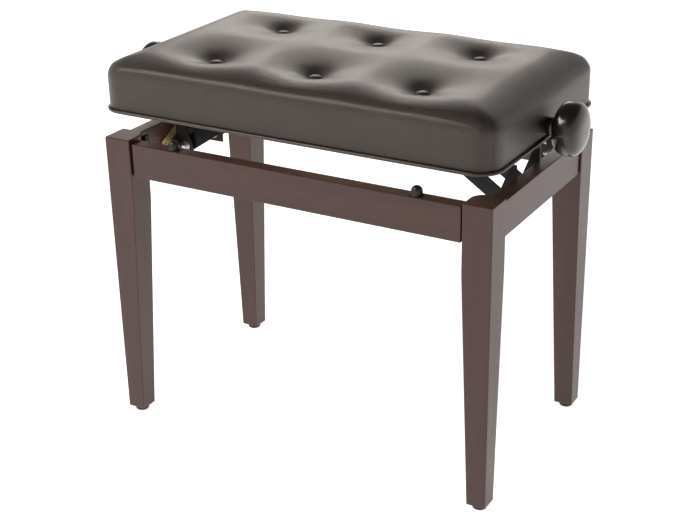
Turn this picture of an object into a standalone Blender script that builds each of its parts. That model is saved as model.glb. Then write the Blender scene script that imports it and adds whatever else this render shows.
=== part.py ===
"""Adjustable piano bench: a wooden underframe, a screw-driven lift and a tufted seat.

Metres. X runs along the bench, Y from front to back, Z up. The origin is on the
floor under the middle of the bench. The seat is drawn part way up its travel.
"""

from math import asin, copysign, cos, pi, sin, sqrt, tau

import bmesh
import bpy
from mathutils import Matrix, Vector

GAP = 0.0003  # between pieces that touch
SLIDING = 0.0003  # around a pin or rod in its hole

# Underframe
FRAME_WIDTH = 0.546
FRAME_DEPTH = 0.313
LEG_TOP_Z = 0.404
LEG_SIZE = 0.038
LEG_FOOT_SIZE = 0.0255
LEG_TAPER_DROP = 0.038  # from the bottom of the aprons down to the start of the taper
LEG_CORNER_RADIUS = 0.016  # inner corner, behind the aprons
LEG_CORNER_RUNOUT = 0.010
LEG_EDGE = 0.0012
GLIDE_DIAMETER = 0.0185
GLIDE_HEIGHT = 0.0067
GLIDE_CHAMFER = 0.0015
APRON_HEIGHT = 0.045
APRON_THICKNESS = 0.019
APRON_RECESS = 0.0025  # behind the outer faces of the legs
APRON_DROP = 0.005  # below the tops of the legs
APRON_GROOVE = 0.0022  # shadow groove at each end of an apron
APRON_GROOVE_DEPTH = 0.005
PLATE_THICKNESS = 0.0025
CORNER_PLATE_CLEARANCE = 0.0038  # from the rounded corner of the leg
CORNER_PLATE_FLANGE = 0.010
CORNER_PLATE_HEIGHT = 0.030
CORNER_BOLT_DIAMETER = 0.008
STUD_DIAMETER = 0.0155
STUD_HEIGHT = 0.013
STUD_X = 0.172

# Lift mechanism
ARM_LENGTH = 0.150
ARM_WIDTH = 0.020
BAR_THICKNESS = 0.003
LINK_WIDTH = 0.018
PIVOT_RISE = 0.083  # from the lower pivots to the upper ones, as drawn
LOWER_PIVOT_DROP = 0.039  # below the tops of the aprons
ARM_Y = 0.030  # from the middle of the bench to the middle of each arm
ARM_END_CLEARANCE = 0.0015  # from an arm's round end to the plate of its channel
PLANE_GAP = 0.0008  # between an arm and the link beside it
FLANGE_GAP = 0.0025  # washer space between an arm or link and its channel
ROD_DIAMETER = 0.008
CHANNEL_HEIGHT = 0.030
CHANNEL_FLANGE = 0.025
EAR_TIP = 0.007  # width of the raised ears of a base channel, at their tops
EAR_TOP = 0.052  # above the lower pivots
EAR_FOOT = 0.005
UPPER_CHANNEL_RISE = 0.008  # middle of an upper channel above its rod
UPPER_CHANNEL_WING = 0.052  # from a flange to the end of the plate
STRAP_THICKNESS = 0.002
STRAP_WIDTH = 0.013
STRAP_REACH = 0.068
STRAP_ARCH = 0.024
STRAP_TOP = 0.028  # middle of the strap above the lower pivots, under the arch
STRAP_FOOT = 0.007
NUT_LENGTH = 0.030
NUT_WIDTH = 0.026
NUT_ABOVE_BORE = 0.012
NUT_BAR_SIZE = 0.010
SPINDLE_DIAMETER = 0.012
SPINDLE_CLEARANCE = 0.002  # between the spindle and the upper rods under it
SHOULDER_DIAMETER = 0.020
SHOULDER_LENGTH = 0.006
SHOULDER_GAP = 0.001

# Knobs and bushes
KNOB_DIAMETER = 0.065
KNOB_THICKNESS = 0.036
KNOB_SQUARENESS = 3  # power of its rounded outline, where 2 would be an ellipse
KNOB_STEPS = 16  # round that outline
KNOB_NECK_DIAMETER = 0.022
KNOB_NECK_LENGTH = 0.006
KNOB_BORE = 0.020
KNOB_GAP = 0.0008  # between a knob and the flange of its bush
BUSH_WALL = 0.002
BUSH_FLANGE_WIDTH = 0.002
BUSH_FLANGE = 0.0025

# Seat
SEAT_OVERHANG_X = 0.0005  # beyond the legs
SEAT_OVERHANG_Y = 0.0035
SEAT_CORNER_RADIUS = 0.030
SEAT_SIDE_HEIGHT = 0.0633
SEAT_BELOW_PIVOTS = 0.001
COVER_THICKNESS = 0.002
RAIL_HEIGHT = 0.034
RAIL_THICKNESS = 0.016
BOARD_THICKNESS = 0.009
PIPING_DIAMETER = 0.0044
BUTTON_DIAMETER = 0.018
BUTTON_HEIGHT = 0.0042
BUTTON_PITCH_X = 0.146
BUTTON_PITCH_Y = 0.160

# Places that follow from the sizes above
APRON_TOP_Z = LEG_TOP_Z - APRON_DROP
APRON_BOTTOM_Z = APRON_TOP_Z - APRON_HEIGHT
TAPER_START_Z = APRON_BOTTOM_Z - LEG_TAPER_DROP
INNER_X = FRAME_WIDTH / 2 - APRON_RECESS - APRON_THICKNESS
INNER_Y = FRAME_DEPTH / 2 - APRON_RECESS - APRON_THICKNESS
LEG_INSIDE = LEG_SIZE - APRON_RECESS - APRON_THICKNESS
LEG_REACH = sqrt(2) * (LEG_INSIDE - LEG_CORNER_RADIUS) + LEG_CORNER_RADIUS
CORNER_PLATE_LEG = sqrt(2) * (LEG_REACH + CORNER_PLATE_CLEARANCE)
CHANNEL_END_Y = ARM_Y + BAR_THICKNESS / 2 + FLANGE_GAP + PLATE_THICKNESS
LINK_Y = ARM_Y - BAR_THICKNESS - PLANE_GAP
LOWER_PIVOT_Z = APRON_TOP_Z - LOWER_PIVOT_DROP
UPPER_PIVOT_Z = LOWER_PIVOT_Z + PIVOT_RISE
BASE_PLATE_X = INNER_X - STRAP_THICKNESS - 2 * GAP
PIVOT_X = BASE_PLATE_X - PLATE_THICKNESS - ARM_WIDTH / 2 - ARM_END_CLEARANCE
ARM_ANGLE = asin(PIVOT_RISE / ARM_LENGTH)
NUT_X = PIVOT_X - ARM_LENGTH * cos(ARM_ANGLE)
SPINDLE_RISE = (ROD_DIAMETER + SPINDLE_DIAMETER) / 2 + SPINDLE_CLEARANCE
BUSH_DIAMETER = SPINDLE_DIAMETER + 2 * BUSH_WALL
BUSH_FLANGE_DIAMETER = BUSH_DIAMETER + 2 * BUSH_FLANGE_WIDTH
SEAT_WIDTH = FRAME_WIDTH + 2 * SEAT_OVERHANG_X
SEAT_DEPTH = FRAME_DEPTH + 2 * SEAT_OVERHANG_Y
RAIL_INSET = COVER_THICKNESS + 2 * GAP
RAIL_INNER_X = SEAT_WIDTH / 2 - RAIL_INSET - RAIL_THICKNESS
RAIL_INNER_Y = SEAT_DEPTH / 2 - RAIL_INSET - RAIL_THICKNESS
KNOB_INNER_X = SEAT_WIDTH / 2 + GAP + BUSH_FLANGE + KNOB_GAP

# Heights in the seat, above the upper pivots
SEAT_BOTTOM = -SEAT_BELOW_PIVOTS
BOARD_BOTTOM = SEAT_BOTTOM + RAIL_HEIGHT + GAP
FOAM_BOTTOM = BOARD_BOTTOM + BOARD_THICKNESS + GAP
COVER_TOP = SEAT_BOTTOM + SEAT_SIDE_HEIGHT
COVER_BOTTOM = SEAT_BOTTOM + PIPING_DIAMETER / 2 + GAP

THROUGH = 0.010  # how far a cutter passes the faces it cuts

SIDES = (("left", -1), ("right", 1))
ENDS = (("front", -1), ("back", 1))


def clear_scene():
    for obj in list(bpy.data.objects):
        bpy.data.objects.remove(obj, do_unlink=True)


def material(name, colour, roughness, metallic=0.0):
    made = bpy.data.materials.new(name)
    made.use_nodes = True
    shader = made.node_tree.nodes["Principled BSDF"]
    shader.inputs["Base Color"].default_value = (*colour, 1.0)
    shader.inputs["Roughness"].default_value = roughness
    shader.inputs["Metallic"].default_value = metallic
    made.diffuse_color = (*colour, 1.0)
    return made


def empty(name, location, parent=None):
    made = bpy.data.objects.new(name, None)
    made.empty_display_size = 0.02
    made.location = location
    made.parent = parent
    bpy.context.scene.collection.objects.link(made)
    return made


def solid(name, bm, finish, parent=None, location=(0, 0, 0), smooth=False):
    """Puts the bmesh into a new named object, with its faces turned outwards."""
    bmesh.ops.remove_doubles(bm, verts=bm.verts, dist=1e-6)
    bmesh.ops.recalc_face_normals(bm, faces=bm.faces)
    mesh = bpy.data.meshes.new(name)
    bm.to_mesh(mesh)
    bm.free()
    if smooth:
        mesh.shade_smooth()
        mesh.set_sharp_from_angle(angle=0.6)
    mesh.materials.append(finish)
    made = bpy.data.objects.new(name, mesh)
    made.location = location
    made.parent = parent
    bpy.context.scene.collection.objects.link(made)
    return made


def add_box(bm, low, high):
    corners = bmesh.ops.create_cube(bm, size=1.0)["verts"]
    for vert in corners:
        vert.co = [l + (c + 0.5) * (h - l) for l, h, c in zip(low, high, vert.co)]


def add_cylinder(bm, start, end, radius, segments=20):
    start = Vector(start)
    end = Vector(end)
    length = (end - start).length
    made = bmesh.ops.create_cone(
        bm, cap_ends=True, segments=segments, radius1=radius, radius2=radius, depth=length
    )["verts"]
    turn = Vector((0, 0, 1)).rotation_difference(end - start).to_matrix()
    bmesh.ops.rotate(bm, verts=made, matrix=turn)
    bmesh.ops.translate(bm, verts=made, vec=(start + end) / 2)


def arc(centre, radius, start, end, steps):
    """Points from one angle to another, both included."""
    turns = [start + (end - start) * i / steps for i in range(steps + 1)]
    return [(centre[0] + radius * cos(t), centre[1] + radius * sin(t)) for t in turns]


def rounded_rectangle(width, depth, radius, steps=6):
    x = width / 2 - radius
    y = depth / 2 - radius
    corners = ((x, -y), (x, y), (-x, y), (-x, -y))
    points = []
    for quarter, corner in enumerate(corners):
        start = (quarter - 1) * pi / 2
        points += arc(corner, radius, start, start + pi / 2, steps)
    return points


def prism(outline, low, high):
    """Extrudes an outline in XY from one height to another."""
    bm = bmesh.new()
    face = bm.faces.new([bm.verts.new((x, y, low)) for x, y in outline])
    raised = bmesh.ops.extrude_face_region(bm, geom=[face])["geom"]
    verts = [item for item in raised if isinstance(item, bmesh.types.BMVert)]
    bmesh.ops.translate(bm, verts=verts, vec=(0, 0, high - low))
    return bm


def flat_bar(outline, y, thickness):
    """A plate standing in an XZ plane, with its outline in X and Z."""
    bm = prism(outline, -thickness / 2, thickness / 2)
    bmesh.ops.rotate(bm, verts=bm.verts, matrix=Matrix.Rotation(pi / 2, 3, "X"))
    bmesh.ops.translate(bm, verts=bm.verts, vec=(0, y, 0))
    return bm


def turned(profile, axis, segments=28):
    """Turns a profile of (radius, position) points about the X or the Z axis."""
    bm = bmesh.new()
    along = Vector(axis)
    across = Vector((0, 1, 0))
    verts = [bm.verts.new(across * radius + along * place) for radius, place in profile]
    closed_profile = profile[0][0] > 0
    ends = verts[1:] + (verts[:1] if closed_profile else [])
    edges = [bm.edges.new(pair) for pair in zip(verts, ends)]
    bmesh.ops.spin(
        bm, geom=verts + edges, cent=(0, 0, 0), axis=along, angle=tau, steps=segments, use_merge=True
    )
    return bm


def boolean(target, bm, operation="DIFFERENCE", name="cutter"):
    """Cuts, clips or adds a hidden helper in the target's own coordinates."""
    bmesh.ops.remove_doubles(bm, verts=bm.verts, dist=1e-6)
    bmesh.ops.recalc_face_normals(bm, faces=bm.faces)
    mesh = bpy.data.meshes.new(f"{target.name}_{name}")
    bm.to_mesh(mesh)
    bm.free()
    helper = bpy.data.objects.new(mesh.name, mesh)
    helper.parent = target
    helper.hide_render = True
    helper.display_type = "WIRE"
    bpy.context.scene.collection.objects.link(helper)
    modifier = target.modifiers.new(name, "BOOLEAN")
    modifier.operation = operation
    modifier.object = helper


def soften(target, width, segments=2):
    """Eases the edges that are sharper than thirty degrees."""
    modifier = target.modifiers.new("eased_edges", "BEVEL")
    modifier.width = width
    modifier.segments = segments
    modifier.limit_method = "ANGLE"
    modifier.angle_limit = pi / 6


def cylinder_mesh(start, end, radius, segments=20):
    bm = bmesh.new()
    add_cylinder(bm, start, end, radius, segments)
    return bm


# Underframe


def leg_section(size, radius, x_side, y_side):
    """Square with its outer corner at the origin and a rounded inner corner."""
    middle = size - radius
    points = [(0, 0), (size, 0)] + arc((middle, middle), radius, 0, pi / 2, 6) + [(0, size)]
    return [(-x_side * x, -y_side * y) for x, y in points]


def leg(name, x_side, y_side, finish):
    square = LEG_EDGE
    levels = (
        (GLIDE_HEIGHT + GAP, LEG_FOOT_SIZE, square),
        (TAPER_START_Z, LEG_SIZE, square),
        (APRON_BOTTOM_Z - LEG_CORNER_RUNOUT, LEG_SIZE, square),
        (APRON_BOTTOM_Z, LEG_SIZE, LEG_CORNER_RADIUS),
        (LEG_TOP_Z, LEG_SIZE, LEG_CORNER_RADIUS),
    )
    bm = bmesh.new()
    loops = []
    for z, size, radius in levels:
        section = leg_section(size, radius, x_side, y_side)
        verts = [bm.verts.new((x, y, z)) for x, y in section]
        loops.append(verts)
    for lower, upper in zip(loops, loops[1:]):
        for i, vert in enumerate(lower):
            after = (i + 1) % len(lower)
            bm.faces.new((vert, lower[after], upper[after], upper[i]))
    bm.faces.new(loops[0])
    bm.faces.new(loops[-1])
    place = (x_side * FRAME_WIDTH / 2, y_side * FRAME_DEPTH / 2, 0)
    made = solid(name, bm, finish, location=place)
    soften(made, LEG_EDGE)


def glide(name, x_side, y_side, finish):
    radius = GLIDE_DIAMETER / 2
    profile = [
        (0, 0),
        (radius - GLIDE_CHAMFER, 0),
        (radius, GLIDE_CHAMFER),
        (radius, GLIDE_HEIGHT),
        (0, GLIDE_HEIGHT),
    ]
    x = x_side * (FRAME_WIDTH - LEG_FOOT_SIZE) / 2
    y = y_side * (FRAME_DEPTH - LEG_FOOT_SIZE) / 2
    solid(name, turned(profile, (0, 0, 1)), finish, location=(x, y, 0), smooth=True)


def apron(name, length, location, turn, finish):
    """A rail with a shadow groove at each end of its outer face, which looks to -Y."""
    half = length / 2
    groove = half - APRON_GROOVE
    outline = [
        (-groove, 0),
        (groove, 0),
        (groove, APRON_GROOVE_DEPTH),
        (half, APRON_GROOVE_DEPTH),
        (half, APRON_THICKNESS),
        (-half, APRON_THICKNESS),
        (-half, APRON_GROOVE_DEPTH),
        (-groove, APRON_GROOVE_DEPTH),
    ]
    made = solid(name, prism(outline, APRON_BOTTOM_Z, APRON_TOP_Z), finish, location=location)
    made.rotation_euler.z = turn
    soften(made, LEG_EDGE)


def aprons(finish):
    long_length = FRAME_WIDTH - 2 * (LEG_SIZE + GAP)
    short_length = FRAME_DEPTH - 2 * (LEG_SIZE + GAP)
    x = FRAME_WIDTH / 2 - APRON_RECESS
    y = FRAME_DEPTH / 2 - APRON_RECESS
    apron("apron_front", long_length, (0, -y, 0), 0, finish)
    apron("apron_back", long_length, (0, y, 0), pi, finish)
    apron("apron_left", short_length, (-x, 0, 0), -pi / 2, finish)
    apron("apron_right", short_length, (x, 0, 0), pi / 2, finish)


def corner_plate(name, x_side, y_side, finish):
    """A bent strip across the inside of a corner, with a flange on each apron."""
    reach = CORNER_PLATE_LEG + CORNER_PLATE_FLANGE
    leg_length = CORNER_PLATE_LEG
    t = PLATE_THICKNESS
    bend = t * (sqrt(2) - 1)
    outline = [
        (GAP, reach),
        (GAP, leg_length),
        (leg_length, GAP),
        (reach, GAP),
        (reach, GAP + t),
        (leg_length + bend, GAP + t),
        (GAP + t, leg_length + bend),
        (GAP + t, reach),
    ]
    outline = [(x_side * (INNER_X - x), y_side * (INNER_Y - y)) for x, y in outline]
    middle = (APRON_TOP_Z + APRON_BOTTOM_Z) / 2
    half = CORNER_PLATE_HEIGHT / 2
    made = solid(name, prism(outline, middle - half, middle + half), finish)
    centre = Vector((x_side * (INNER_X - leg_length / 2), y_side * (INNER_Y - leg_length / 2), middle))
    outwards = Vector((x_side, y_side, 0)) * THROUGH
    hole = cylinder_mesh(centre - outwards, centre + outwards, CORNER_BOLT_DIAMETER / 2, 16)
    boolean(made, hole, name="bolt_hole")


def stop_stud(name, x, y_side, finish):
    radius = STUD_DIAMETER / 2
    straight = STUD_HEIGHT - radius
    dome = arc((0, straight), radius, 0, pi / 2, 4)
    profile = [(0, 0), (radius, 0)] + [(max(r, 0.0), z) for r, z in dome[:-1]] + [(0, STUD_HEIGHT)]
    y = y_side * (INNER_Y + APRON_THICKNESS / 2)
    made = turned(profile, (0, 0, 1), 16)
    solid(name, made, finish, location=(x, y, APRON_TOP_Z + GAP), smooth=True)


def base_channel(name, side, finish):
    """A plate on the strap, with an ear at each end that rises beside the arms."""
    t = PLATE_THICKNESS
    half = CHANNEL_HEIGHT / 2
    inner_y = CHANNEL_END_Y - t
    bm = bmesh.new()
    low_x, high_x = sorted((side * (BASE_PLATE_X - t), side * BASE_PLATE_X))
    low = (low_x, -inner_y - t / 2, LOWER_PIVOT_Z - half)
    add_box(bm, low, (high_x, inner_y + t / 2, LOWER_PIVOT_Z + half))
    made = solid(name, bm, finish)
    ear = [
        (BASE_PLATE_X, -half),
        (BASE_PLATE_X - CHANNEL_FLANGE, -half),
        (BASE_PLATE_X - CHANNEL_FLANGE, EAR_FOOT),
        (BASE_PLATE_X - EAR_TIP, EAR_TOP),
        (BASE_PLATE_X, EAR_TOP),
    ]
    ear = [(side * x, LOWER_PIVOT_Z + z) for x, z in ear]
    for end_label, end in ENDS:
        boolean(made, flat_bar(ear, end * (inner_y + t / 2), t), "UNION", f"ear_{end_label}")
    return made


def upper_channel(name, side, finish, seat):
    """A plate along a seat rail, with two flanges turned inwards beside the links."""
    t = PLATE_THICKNESS
    outer_y = LINK_Y - BAR_THICKNESS / 2 - FLANGE_GAP
    inner_y = outer_y - t
    end_y = outer_y + UPPER_CHANNEL_WING
    outline = [
        (0, -end_y),
        (t, -end_y),
        (t, -outer_y),
        (CHANNEL_FLANGE, -outer_y),
        (CHANNEL_FLANGE, -inner_y),
        (t, -inner_y),
        (t, inner_y),
        (CHANNEL_FLANGE, inner_y),
        (CHANNEL_FLANGE, outer_y),
        (t, outer_y),
        (t, end_y),
        (0, end_y),
    ]
    outline = [(side * (RAIL_INNER_X - GAP - x), y) for x, y in outline]
    low = UPPER_CHANNEL_RISE - CHANNEL_HEIGHT / 2
    return solid(name, prism(outline, low, low + CHANNEL_HEIGHT), finish, parent=seat)


def strap(name, side, finish):
    """A flat strap on the inside of an end apron, arched over the middle."""
    half = STRAP_WIDTH / 2
    line = [
        (-STRAP_REACH, STRAP_FOOT),
        (-STRAP_ARCH, STRAP_TOP),
        (STRAP_ARCH, STRAP_TOP),
        (STRAP_REACH, STRAP_FOOT),
    ]
    outline = [(y, z - half) for y, z in line] + [(y, z + half) for y, z in reversed(line)]
    bm = prism(outline, 0, STRAP_THICKNESS)
    upright = Matrix(((0, 0, 1), (1, 0, 0), (0, 1, 0)))
    bmesh.ops.rotate(bm, verts=bm.verts, matrix=upright)
    near_x = min(side * (INNER_X - GAP), side * (INNER_X - GAP - STRAP_THICKNESS))
    solid(name, bm, finish, location=(near_x, 0, LOWER_PIVOT_Z))


def rod_hole(target, x, z, middle_y, reach):
    start = (x, middle_y - reach, z)
    end = (x, middle_y + reach, z)
    boolean(target, cylinder_mesh(start, end, ROD_DIAMETER / 2 + SLIDING), name="rod_hole")


def base_channels(finish, strap_finish, rod_finish):
    for label, side in SIDES:
        strap(f"base_strap_{label}", side, strap_finish)
        base = base_channel(f"base_channel_{label}", side, finish)
        rod_hole(base, side * PIVOT_X, LOWER_PIVOT_Z, 0, CHANNEL_END_Y + THROUGH)
        rod = cylinder_mesh((0, -CHANNEL_END_Y, 0), (0, CHANNEL_END_Y, 0), ROD_DIAMETER / 2)
        place = (side * PIVOT_X, 0, LOWER_PIVOT_Z)
        solid(f"lower_rod_{label}", rod, rod_finish, location=place, smooth=True)


# Lift mechanism


def bar_outline(length, width):
    radius = width / 2
    far = arc((length, 0), radius, -pi / 2, pi / 2, 8)
    near = arc((0, 0), radius, pi / 2, 3 * pi / 2, 8)
    return far + near


def tilt(side, angle):
    """Turn about Y that lays local +X towards the middle, raised by the angle."""
    return -angle if side < 0 else angle - pi


def lift_arms(label, side, finish):
    axis = empty(f"arm_{label}_axis", (side * PIVOT_X, 0, LOWER_PIVOT_Z))
    turn = tilt(side, ARM_ANGLE)
    for end_label, end in ENDS:
        bm = flat_bar(bar_outline(ARM_LENGTH, ARM_WIDTH), end * ARM_Y, BAR_THICKNESS)
        arm = solid(f"arm_{label}_{end_label}", bm, finish, parent=axis)
        arm.rotation_euler.y = turn
        rod_hole(arm, 0, 0, end * ARM_Y, THROUGH)


def links(label, side, seat, finish, rod_finish):
    axis = empty(f"link_{label}_axis", (side * PIVOT_X, 0, 0), seat)
    turn = tilt(side, -ARM_ANGLE)
    for end_label, end in ENDS:
        bm = flat_bar(bar_outline(ARM_LENGTH / 2, LINK_WIDTH), end * LINK_Y, BAR_THICKNESS)
        link = solid(f"link_{label}_{end_label}", bm, finish, parent=axis)
        link.rotation_euler.y = turn
        rod_hole(link, 0, 0, end * LINK_Y, THROUGH)
    reach = LINK_Y + BAR_THICKNESS / 2 + PLANE_GAP
    rod = cylinder_mesh((0, -reach, 0), (0, reach, 0), ROD_DIAMETER / 2)
    solid(f"upper_rod_{label}", rod, rod_finish, parent=axis, smooth=True)


def spindle_nut(label, side, seat, finish):
    """A cross bar between the arm tops, with the threaded block standing on it."""
    axis = empty(f"nut_{label}_axis", (side * NUT_X, 0, 0), seat)
    reach = ARM_Y - BAR_THICKNESS / 2 - 2 * GAP
    half = NUT_BAR_SIZE / 2
    bm = bmesh.new()
    add_box(bm, (-half, -reach, -half), (half, reach, half))
    nut = solid(f"spindle_nut_{label}", bm, finish, parent=axis)
    block = bmesh.new()
    low = (-NUT_LENGTH / 2, -NUT_WIDTH / 2, -half - PLANE_GAP)
    add_box(block, low, (NUT_LENGTH / 2, NUT_WIDTH / 2, SPINDLE_RISE + NUT_ABOVE_BORE))
    boolean(nut, block, "UNION", "block")
    start = (-NUT_LENGTH, 0, SPINDLE_RISE)
    bore = cylinder_mesh(start, (NUT_LENGTH, 0, SPINDLE_RISE), SPINDLE_DIAMETER / 2 + SLIDING)
    boolean(nut, bore, name="bore")


def spindle(seat, finish, knob_finish):
    axis = empty("spindle_axis", (0, 0, SPINDLE_RISE), seat)
    radius = SPINDLE_DIAMETER / 2
    end = KNOB_INNER_X + KNOB_BORE - 2 * GAP
    shoulder_end = RAIL_INNER_X - GAP - PLATE_THICKNESS - SHOULDER_GAP
    shoulder = shoulder_end - SHOULDER_LENGTH
    half = [
        (radius, shoulder),
        (SHOULDER_DIAMETER / 2, shoulder),
        (SHOULDER_DIAMETER / 2, shoulder_end),
        (radius, shoulder_end),
        (radius, end),
        (0, end),
    ]
    profile = [(r, -x) for r, x in reversed(half)] + half
    solid("spindle", turned(profile, (1, 0, 0), 16), finish, parent=axis, smooth=True)
    for label, side in SIDES:
        knob(label, side, axis, knob_finish)


def knob(label, side, axis, finish):
    """A fat turned knob, round at its rim and nearly flat on its faces, on a short neck."""
    bore = SPINDLE_DIAMETER / 2 + GAP
    neck = KNOB_NECK_DIAMETER / 2
    half = KNOB_THICKNESS / 2
    middle = KNOB_INNER_X + KNOB_NECK_LENGTH + half
    power = 2 / KNOB_SQUARENESS
    profile = [
        (0, KNOB_INNER_X + KNOB_BORE),
        (bore, KNOB_INNER_X + KNOB_BORE),
        (bore, KNOB_INNER_X),
        (neck, KNOB_INNER_X),
        (neck, middle - half),
    ]
    for i in range(1, KNOB_STEPS):
        turn = pi * i / KNOB_STEPS
        radius = KNOB_DIAMETER / 2 * sin(turn) ** power
        outwards = -copysign(abs(cos(turn)) ** power, cos(turn))
        if outwards > 0 or radius > neck:
            profile.append((radius, middle + half * outwards))
    profile.append((0, middle + half))
    profile = [(r, side * x) for r, x in profile]
    solid(f"knob_{label}", turned(profile, (1, 0, 0), 24), finish, parent=axis, smooth=True)


# Seat


def core_prism(low, high, inset):
    outline = rounded_rectangle(
        SEAT_WIDTH - 2 * inset, SEAT_DEPTH - 2 * inset, SEAT_CORNER_RADIUS - inset
    )
    return prism(outline, low, high)


def seat_rail(name, low, high, seat, finish):
    """A box rail, with its outer corners rounded to the seat's outline."""
    bm = bmesh.new()
    add_box(bm, (*low, 0), (*high, RAIL_HEIGHT))
    rail = solid(name, bm, finish, parent=seat, location=(0, 0, SEAT_BOTTOM))
    outline = core_prism(-THROUGH, RAIL_HEIGHT + THROUGH, RAIL_INSET)
    boolean(rail, outline, "INTERSECT", "outline")
    return rail


def seat_rails(seat, finish):
    out_x = SEAT_WIDTH / 2
    out_y = SEAT_DEPTH / 2
    in_y = RAIL_INNER_Y
    for label, side in ENDS:
        low_y, high_y = sorted((side * in_y, side * out_y))
        seat_rail(f"seat_rail_{label}", (-out_x, low_y), (out_x, high_y), seat, finish)
    for label, side in SIDES:
        low_x, high_x = sorted((side * RAIL_INNER_X, side * out_x))
        ends = in_y - GAP
        rail = seat_rail(f"seat_rail_{label}", (low_x, -ends), (high_x, ends), seat, finish)
        z = SPINDLE_RISE - SEAT_BOTTOM
        start = (side * (RAIL_INNER_X - THROUGH), 0, z)
        hole = cylinder_mesh(start, (side * (out_x + THROUGH), 0, z), BUSH_DIAMETER / 2 + GAP)
        boolean(rail, hole, name="bush_hole")


def upper_channels(seat, finish):
    for label, side in SIDES:
        made = upper_channel(f"upper_channel_{label}", side, finish, seat)
        rod_hole(made, side * PIVOT_X, 0, 0, LINK_Y + THROUGH)
        x = side * (RAIL_INNER_X - GAP)
        start = (x - THROUGH, 0, SPINDLE_RISE)
        end = (x + THROUGH, 0, SPINDLE_RISE)
        hole = cylinder_mesh(start, end, SPINDLE_DIAMETER / 2 + SHOULDER_GAP)
        boolean(made, hole, name="spindle_hole")


def bush(label, side, seat, finish):
    bore = SPINDLE_DIAMETER / 2 + SLIDING
    face = SEAT_WIDTH / 2 + GAP
    profile = [
        (bore, RAIL_INNER_X),
        (BUSH_DIAMETER / 2, RAIL_INNER_X),
        (BUSH_DIAMETER / 2, face),
        (BUSH_FLANGE_DIAMETER / 2, face),
        (BUSH_FLANGE_DIAMETER / 2, face + BUSH_FLANGE),
        (bore, face + BUSH_FLANGE),
    ]
    profile = [(r, side * x) for r, x in profile]
    place = (0, 0, SPINDLE_RISE)
    bm = turned(profile, (1, 0, 0), 20)
    solid(f"spindle_bush_{label}", bm, finish, parent=seat, location=place, smooth=True)


def seat_layers(seat, wood, foam, leather):
    board = core_prism(BOARD_BOTTOM, BOARD_BOTTOM + BOARD_THICKNESS, RAIL_INSET)
    solid("seat_board", board, wood, parent=seat)
    under_cover = COVER_TOP - COVER_THICKNESS
    pad = core_prism(FOAM_BOTTOM, under_cover - GAP, COVER_THICKNESS + GAP)
    solid("foam_pad", pad, foam, parent=seat)
    cover = solid("seat_cover", core_prism(COVER_BOTTOM, COVER_TOP, 0), leather, parent=seat)
    inside = core_prism(COVER_BOTTOM - THROUGH, under_cover, COVER_THICKNESS)
    boolean(cover, inside, name="inside")
    start = (-SEAT_WIDTH, 0, SPINDLE_RISE)
    hole = cylinder_mesh(start, (SEAT_WIDTH, 0, SPINDLE_RISE), BUSH_DIAMETER / 2 + GAP)
    boolean(cover, hole, name="bush_holes")


def piping(seat, finish):
    """A cord round the bottom edge, its middle in line with the cover's outer face."""
    path = bpy.data.curves.new("seat_piping", "CURVE")
    path.dimensions = "3D"
    path.bevel_depth = PIPING_DIAMETER / 2
    path.bevel_resolution = 2
    outline = rounded_rectangle(SEAT_WIDTH, SEAT_DEPTH, SEAT_CORNER_RADIUS, 8)
    spline = path.splines.new("POLY")
    spline.points.add(len(outline) - 1)
    for point, (x, y) in zip(spline.points, outline):
        point.co = (x, y, 0, 1)
    spline.use_cyclic_u = True
    path.materials.append(finish)
    made = bpy.data.objects.new("seat_piping", path)
    made.parent = seat
    made.location.z = SEAT_BOTTOM
    bpy.context.scene.collection.objects.link(made)


def buttons(seat, finish):
    radius = BUTTON_DIAMETER / 2
    sphere = (radius**2 + BUTTON_HEIGHT**2) / (2 * BUTTON_HEIGHT)
    spread = asin(radius / sphere)
    dome = arc((0, BUTTON_HEIGHT - sphere), sphere, pi / 2 - spread, pi / 2, 5)
    profile = [(0, 0)] + dome[:-1] + [(0, BUTTON_HEIGHT)]
    z = COVER_TOP + GAP
    for row, (_, side) in enumerate(ENDS):
        for column in range(3):
            x = (column - 1) * BUTTON_PITCH_X
            place = (x, side * BUTTON_PITCH_Y / 2, z)
            bm = turned(profile, (0, 0, 1), 16)
            name = f"button_{row * 3 + column + 1}"
            solid(name, bm, finish, parent=seat, location=place, smooth=True)


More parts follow.
